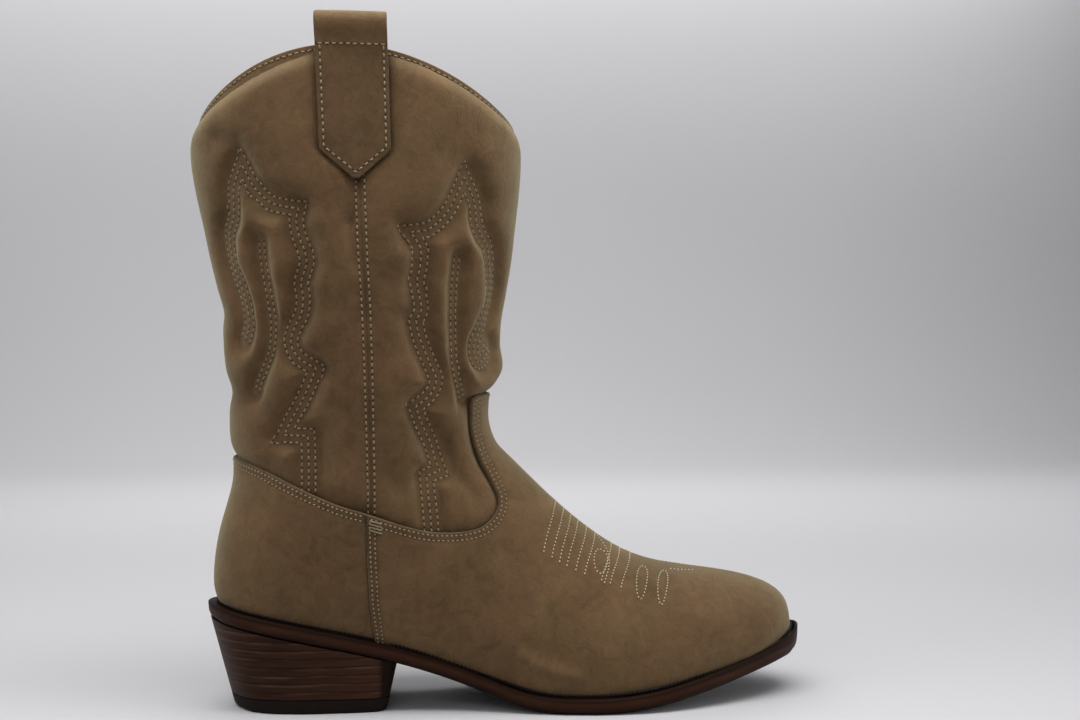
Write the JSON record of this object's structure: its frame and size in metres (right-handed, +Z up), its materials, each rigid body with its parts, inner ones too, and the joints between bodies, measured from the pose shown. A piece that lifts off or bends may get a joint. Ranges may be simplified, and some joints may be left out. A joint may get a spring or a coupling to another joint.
{
  "type": "western boot",
  "caption": "Suede pull-on western boot with a scalloped shaft, pull loops, almond toe and slanted stacked heel, for the right foot.",
  "frame": {"origin": "centre of the bounding box in plan, on the floor", "axes": "+X to the toe, +Y to the inner side of the foot, +Z up the shaft"},
  "size_m": [0.2812, 0.1088, 0.3021],
  "materials": {
    "suede": "taupe brown suede with a short matt nap",
    "outsole": "dark brown sole with a low satin edge",
    "heel": "dark brown stacked heel with fine lift lines",
    "heel_top_piece": "black brown matt rubber",
    "insole": "plain tan insole leather"
  },
  "bodies": {
    "root": {"outsole": "outsole", "heel": "heel", "heel_top_piece": "heel_top_piece", "insole": "insole", "upper": "suede", "vamp": "suede", "heel_counter": "suede", "pull_strap_outer": "suede", "pull_strap_inner": "suede"}
  },
  "joints": []
}
